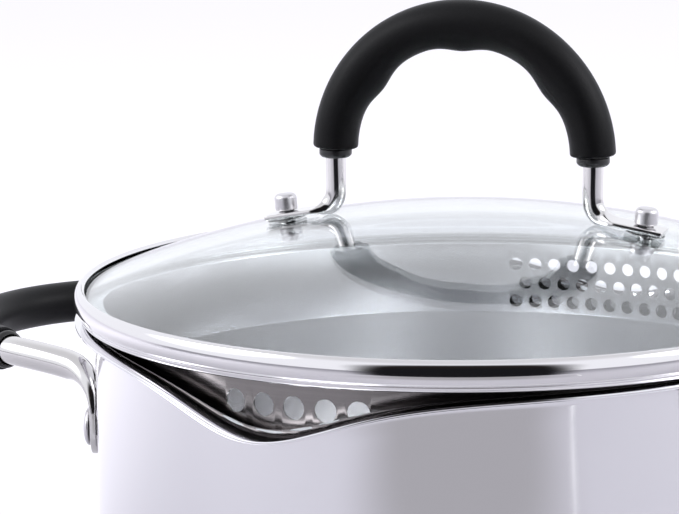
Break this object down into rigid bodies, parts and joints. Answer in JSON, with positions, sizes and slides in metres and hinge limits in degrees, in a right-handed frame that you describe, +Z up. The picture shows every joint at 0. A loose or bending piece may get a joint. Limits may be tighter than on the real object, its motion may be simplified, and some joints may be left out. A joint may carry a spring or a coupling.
{
  "type": "saucepan with glass lid",
  "caption": "Round steel pan with spouts, riveted loop handles and a domed glass lid whose perforated skirt strains as it pours.",
  "frame": {"origin": "centre of the base's underside", "axes": "+Z up; the loop handles are on +X and -X, the pouring spouts on -Y and +Y; the lid's large holes face -Y"},
  "size_m": [0.3248, 0.219, 0.2047],
  "materials": {
    "pot_steel": "mirror-polished outside, satin inside",
    "base_steel": "finely brushed",
    "core_aluminium": "matt",
    "band_steel": "polished",
    "strainer_steel": "satin",
    "lid_glass": "clear tempered glass",
    "grip_black": "fine matt soft-touch grain",
    "ring_black": "smooth",
    "clear_silicone": "clear, smooth",
    "rivet_steel": "satin",
    "rod_steel": "polished"
  },
  "bodies": {
    "pot": {"pot_body": "pot_steel", "base_core": "core_aluminium", "base_cap": "base_steel", "left_handle_rod": "rod_steel", "left_handle_grip": "grip_black", "left_handle_ring_a": "ring_black", "left_handle_ring_b": "ring_black", "left_handle_rivet_a": "rivet_steel", "left_handle_rivet_b": "rivet_steel", "right_handle_rod": "rod_steel", "right_handle_grip": "grip_black", "right_handle_ring_a": "ring_black", "right_handle_ring_b": "ring_black", "right_handle_rivet_a": "rivet_steel", "right_handle_rivet_b": "rivet_steel"},
    "lid_rim": {"lid_rim_band": "band_steel"},
    "lid": {"lid_glass": "lid_glass", "strainer_skirt": "strainer_steel", "lid_handle_rod": "rod_steel", "lid_handle_grip": "grip_black", "lid_gasket_a": "clear_silicone", "lid_gasket_b": "clear_silicone", "lid_washer_a": "clear_silicone", "lid_washer_b": "clear_silicone", "lid_rivet_a": "rivet_steel", "lid_rivet_b": "rivet_steel", "lid_handle_ring_a": "ring_black", "lid_handle_ring_b": "ring_black"}
  },
  "joints": [
    {"name": "lid_lift", "type": "slide", "parent": "pot", "child": "lid_rim", "axis": [0, 0, 1], "range_m": [0, 0.12]},
    {"name": "lid_turn", "type": "hinge", "parent": "lid_rim", "child": "lid", "pos_m": [0, 0, 0.128], "axis": [0, 0, 1], "continuous": true}
  ]
}
